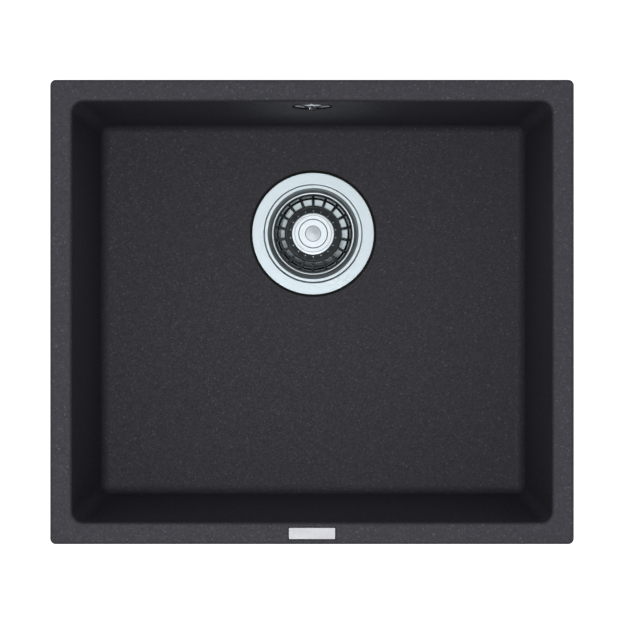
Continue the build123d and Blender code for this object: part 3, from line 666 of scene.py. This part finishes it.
def cloudy_metal(name, dark, light, rough, clouds_per_metre, edge=1.0):
    """Metal whose colour and roughness drift together with a soft noise.

    Edge dims what the metal mirrors at a slant.
    """
    material, tree, shader = new_finish(name, {"Metallic": 1.0, "Specular Tint": (edge, edge, edge, 1)})
    place = add_node(tree, "TexCoord").outputs["Object"]
    noise = add_node(tree, "TexNoise", {"Vector": place, "Scale": clouds_per_metre, "Detail": 4.0})
    clouds = noise.outputs["Fac"]
    tree.links.new(two_tones(tree, clouds, dark, light), shader.inputs["Base Color"])
    tree.links.new(spread(tree, clouds, *rough), shader.inputs["Roughness"])
    print(f"{name}: {len(tree.nodes)} nodes")
    return material


overflow_chrome = cloudy_metal("overflow_chrome", dark=(0.76, 0.78, 0.80), light=(0.82, 0.83, 0.85),
                               rough=(0.06, 0.14), clouds_per_metre=150.0, edge=0.25)
fastener_steel = cloudy_metal("fastener_steel", dark=(0.50, 0.51, 0.53), light=(0.64, 0.65, 0.66),
                              rough=(0.3, 0.45), clouds_per_metre=500.0)
brass_inserts = cloudy_metal("brass_inserts", dark=(0.62, 0.44, 0.19), light=(0.74, 0.55, 0.26),
                             rough=(0.25, 0.4), clouds_per_metre=300.0)

# %% [markdown]
# ## Rubber and moulded plastic
# Seals are black moulded rubber with a fine, matt skin. The waste kit below the floor is white
# polypropylene, which is a little waxy: light goes slightly into it, which the shader's subsurface
# weight gives. A fine noise bump is the grain that the mould leaves.

# %% Rubber and plastic
CLOUDS_PER_METRE = 60.0
SKIN_DEPTH = 5e-5
SKIN_STRENGTH = 0.4
RUBBERY = {"Specular IOR Level": 0.25}
WAXY = {"Subsurface Weight": 0.1, "Subsurface Scale": 0.002}


def moulded(name, dark, light, rough, grain_per_metre, constants):
    """A moulded skin: soft clouds of two tones, and a fine grain as bump."""
    material, tree, shader = new_finish(name, constants)
    place = add_node(tree, "TexCoord").outputs["Object"]
    noise = add_node(tree, "TexNoise", {"Vector": place, "Scale": CLOUDS_PER_METRE, "Detail": 3.0})
    clouds = noise.outputs["Fac"]
    tree.links.new(two_tones(tree, clouds, dark, light), shader.inputs["Base Color"])
    tree.links.new(spread(tree, clouds, *rough), shader.inputs["Roughness"])
    grain = add_node(tree, "TexNoise", {"Vector": place, "Scale": grain_per_metre, "Detail": 2.0})
    bumped(tree, shader, grain.outputs["Fac"], SKIN_DEPTH, SKIN_STRENGTH)
    print(f"{name}: {len(tree.nodes)} nodes")
    return material


black_rubber = moulded("black_rubber", dark=(0.006, 0.006, 0.0065), light=(0.012, 0.012, 0.0125),
                       rough=(0.75, 0.6), grain_per_metre=2500.0, constants=RUBBERY)
waste_plastic = moulded("waste_plastic", dark=(0.74, 0.74, 0.72), light=(0.80, 0.80, 0.785),
                        rough=(0.5, 0.4), grain_per_metre=1500.0, constants=WAXY)
pipe_plastic = moulded("pipe_plastic", dark=(0.60, 0.61, 0.61), light=(0.67, 0.68, 0.68),
                       rough=(0.55, 0.45), grain_per_metre=1500.0, constants=WAXY)

# %% [markdown]
# ## Dressing
# Each CAD piece takes the material that the table below gives it.

# %% Materials on the pieces
FINISHES = {
    granite: ["sink_bowl"],
    badge_steel: ["badge_plate"],
    flange_steel: ["strainer_cup"],
    basket_steel: ["basket_cup"],
    knob_steel: ["basket_knob"],
    overflow_chrome: ["overflow_rosette", "overflow_screw"],
    fastener_steel: ["basket_stem", "basket_washer", "basket_nut", "clamp_screw", "clamp_washer"],
    brass_inserts: ["rim_inserts", "waste_insert", "overflow_insert"],
    black_rubber: ["strainer_seal", "waste_gasket", "basket_seal", "catch_ring", "overflow_gasket",
                   "overflow_upper_seal", "overflow_lower_seal"],
    waste_plastic: ["waste_body", "overflow_housing"],
    pipe_plastic: ["overflow_pipe"],
}
for material, names in FINISHES.items():
    for name in names:
        nodes[name].data.materials.clear()
        nodes[name].data.materials.append(material)
print("finished:", sum(map(len, FINISHES.values())), "of", len(nodes), "pieces")

# %% [markdown]
# ## Surfaces from a formula
# A shape that follows a rule needs no modelling tool, because numpy works out all its points at once.
# The points make a grid, whose columns run round in a ring. Its rows either join up in a ring as
# well, as on a tyre, or stop at two ends, which then get a lid each. All faces come from one table of
# the points' numbers: shifted by a row or a column, it gives the four corners of every quad.

# %% Faces of a grid


def grid_faces(rows, columns, rows_join):
    """The quads and lids of a grid of points, where point (i, j) has the number i times columns plus j.

    Quad (i, j) joins the points (i, j), (i, j+1), (i+1, j+1) and (i+1, j). Rows that join need no lids.
    """
    number = np.arange(rows * columns).reshape(rows, columns)
    lids = np.stack([number[0, ::-1], number[-1]])
    if rows_join:
        lids = lids[:0]
        number = np.vstack([number, number[:1]])
    number = np.hstack([number, number[:, :1]])
    corners = [number[:-1, :-1], number[:-1, 1:], number[1:, 1:], number[1:, :-1]]
    return np.stack(corners, axis=-1).reshape(-1, 4), lids


quads, lids = grid_faces(3, 4, rows_join=False)
print("three rings of four points:", len(quads), "quads and", len(lids), "lids")

# %% [markdown]
# ## The outlet's thread
# The spigot below the waste body carries a coarse pipe thread for the trap's union nut. A Screw
# modifier could turn it. Here a small trapezium is carried along a helix, which keeps the pitch and
# the start in plain sight. Its rise fades over a quarter turn at both ends, as on a moulded thread.

# %% Points of the thread
THREAD_PITCH = 0.002309
THREAD_RISE = 0.0006
THREAD_ROOT = 0.0002
THREAD_START = 0.0032
THREAD_TURNS = 7.25
THREAD_FOOT = 0.42
THREAD_CREST = 0.14
FADE_TURNS = 0.25
FADE_LEAST = 0.05
STEPS_PER_TURN = 90
spigot = next(mount for mount in frame["record"]["mounts"] if mount["name"] == "outlet_spigot")
spigot_radius = spigot["dims"]["r_mm"] / 1000
spigot_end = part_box("waste_body")[0].z


def thread_points():
    """Grid of a ridge on a helix: height = start + pitch times turns, radius = spigot + faded rise.

    The ridge is a trapezium; its foot and crest reach to both sides by those shares of the pitch.
    """
    turn = np.linspace(0, THREAD_TURNS, int(THREAD_TURNS * STEPS_PER_TURN))[:, None]
    fade = np.clip(np.minimum(turn, THREAD_TURNS - turn) / FADE_TURNS, FADE_LEAST, 1.0)
    across = THREAD_PITCH * np.array([-THREAD_FOOT, -THREAD_CREST, THREAD_CREST, THREAD_FOOT])
    radius = spigot_radius + np.array([-THREAD_ROOT, THREAD_RISE, THREAD_RISE, -THREAD_ROOT]) * fade
    angle = 2 * np.pi * turn
    x = drain_axis.x + radius * np.cos(angle)
    y = drain_axis.y + radius * np.sin(angle)
    z = spigot_end + THREAD_START + THREAD_PITCH * turn + across
    return np.stack([x, y, z], axis=-1)


thread = thread_points()
print(f"thread of {thread.shape[0]} by {thread.shape[1]} points, {1000 * np.ptp(thread[..., 2]):.1f} mm high")

# %% [markdown]
# The points and faces become a mesh, whose faces must all point outwards. The sign of the volume that
# they enclose tells whether they do. Shading is smooth, except over edges that bend sharply. Every
# new piece then takes its finish, the body that it moves with, and the light of the matt pieces.

# %% Outlet thread
SHARP_ANGLE = np.radians(35)


def grid_surface(name, points, rows_join):
    """An object from a grid of points (rows, columns, 3) whose columns run round in a ring.

    The volume is a sum of triple products, corner 1 times the cross product of corners 2 and 3, over
    the two triangles of each quad. Where it is negative, the faces are turned.
    """
    quads, lids = grid_faces(*points.shape[:2], rows_join)
    flat = points.reshape(-1, 3)
    a, b, c, d = np.moveaxis((flat - flat.mean(0))[quads], 1, 0)
    volume = np.sum(a * np.cross(b, c)) + np.sum(a * np.cross(c, d))
    if volume < 0:
        quads, lids = quads[:, ::-1], lids[:, ::-1]
    mesh = bpy.data.meshes.new(name)
    mesh.from_pydata(flat.tolist(), [], quads.tolist() + lids.tolist())
    mesh.shade_smooth()
    mesh.set_sharp_from_angle(angle=SHARP_ANGLE)
    piece = bpy.data.objects.new(name, mesh)
    scene.collection.objects.link(piece)
    print(f"{name}: {len(mesh.polygons)} faces")
    return piece


def dress(piece, material, body):
    """Gives a new piece its finish, the body that it moves with and the light of the matt pieces."""
    piece.data.materials.append(material)
    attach(piece, body)
    matt_pieces.objects.link(piece)


outlet_thread = grid_surface("outlet_thread", thread, rows_join=False)
dress(outlet_thread, waste_plastic, "root")

# %% [markdown]
# ## The rubber stopper
# Below the basket hangs a moulded rubber stopper, whose flared lip closes the throat when the basket
# is pressed down. The CAD model has it with sharp corners. Rubber comes out of its mould with every
# corner rounded, with a raised bead on the flare and a hollow ring below. A closed outline is drawn
# first, and each of its corners becomes a small parabola between two points on its sides.

# %% Outline of the stopper
STOPPER_ROUND = 0.0007
STOPPER_OUTLINE = 0.001 * np.array([
    (3.05, 14.9), (11.0, 14.9), (13.0, 5.2), (15.4, 4.65), (16.0, 5.2), (17.2, 4.9), (17.8, 4.1),
    (20.5, 3.5), (25.0, 1.9), (25.5, 1.4), (25.0, 0.0), (22.5, 0.0), (20.5, 0.9), (18.6, 0.9),
    (18.0, 2.0), (14.6, 2.0), (14.0, 0.9), (3.05, 0.9),
])


def rounded_outline(outline, reach, steps=5):
    """Outline with each corner p replaced by a curve from q before it to r after it.

    Point t of the curve is (1-t)^2 q + 2 t (1-t) p + t^2 r; q and r lie reach away from p, but never
    past four tenths of a side.
    """
    before = np.roll(outline, 1, axis=0) - outline
    after = np.roll(outline, -1, axis=0) - outline
    q = outline + before * np.minimum(reach / np.linalg.norm(before, axis=1, keepdims=True), 0.4)
    r = outline + after * np.minimum(reach / np.linalg.norm(after, axis=1, keepdims=True), 0.4)
    t = np.linspace(0, 1, steps)[None, :, None]
    curve = (1 - t) ** 2 * q[:, None] + 2 * t * (1 - t) * outline[:, None] + t ** 2 * r[:, None]
    return curve.reshape(-1, 2)


stopper_outline = rounded_outline(STOPPER_OUTLINE, STOPPER_ROUND)
print(len(STOPPER_OUTLINE), "corners became", len(stopper_outline), "points")

# %% [markdown]
# The outline is then turned round the drain's axis, as clay on a wheel. A Screw modifier would do the
# same. With arrays it is no more than each radius times the cosine and sine of each angle, and it
# stays clear which points make which face. The piece rides on the basket, and takes the place of the
# plain CAD one.

# %% Rubber stopper


def turned_points(outline, foot, segments=120):
    """Grid of an outline (radius, height) turned round the drain's axis, with heights above foot.

    Point (i, j) lies at radius i times the cosine and sine of angle j, and at foot plus height i.
    """
    angle = np.linspace(0, 2 * np.pi, segments, endpoint=False)
    radius, height = outline[:, :1], outline[:, 1:]
    x = drain_axis.x + radius * np.cos(angle)
    y = drain_axis.y + radius * np.sin(angle)
    return np.stack([x, y, foot + height + 0 * angle], axis=-1)


stopper_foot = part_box("basket_seal")[0].z
stopper = grid_surface("rubber_stopper", turned_points(stopper_outline, stopper_foot), rows_join=True)
dress(stopper, black_rubber, "basket")
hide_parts("basket_seal")

# %% [markdown]
# ## The black line round the flange
# A thin bead of black rubber lies on the stone round the flange's edge. It is a dark piece put where
# there is only shade, and draws the strong dark line of shadow round the bright flange. The same two
# functions make it: a small outline, given outwards from the flange's edge and upwards from its top,
# is rounded and turned round the drain's axis.

# %% Flange bead
BEAD_ROUND = 0.00025
BEAD_SEGMENTS = 240
BEAD_OUTLINE = 0.001 * np.array([
    (0.1, -1.15), (0.1, -0.35), (0.9, -0.08), (1.9, -0.15), (2.35, -0.36), (1.3, -0.36), (1.3, -1.15),
])
flange_edge = np.array([(drain_high.x - drain_low.x) / 2, 0])

bead_outline = rounded_outline(flange_edge + BEAD_OUTLINE, BEAD_ROUND)
bead_points = turned_points(bead_outline, drain_high.z, BEAD_SEGMENTS)
# A dark piece that stands for the shadow round the flange's edge.
flange_shade_bead = grid_surface("flange_shade_bead", bead_points, rows_join=True)
dress(flange_shade_bead, black_rubber, "root")
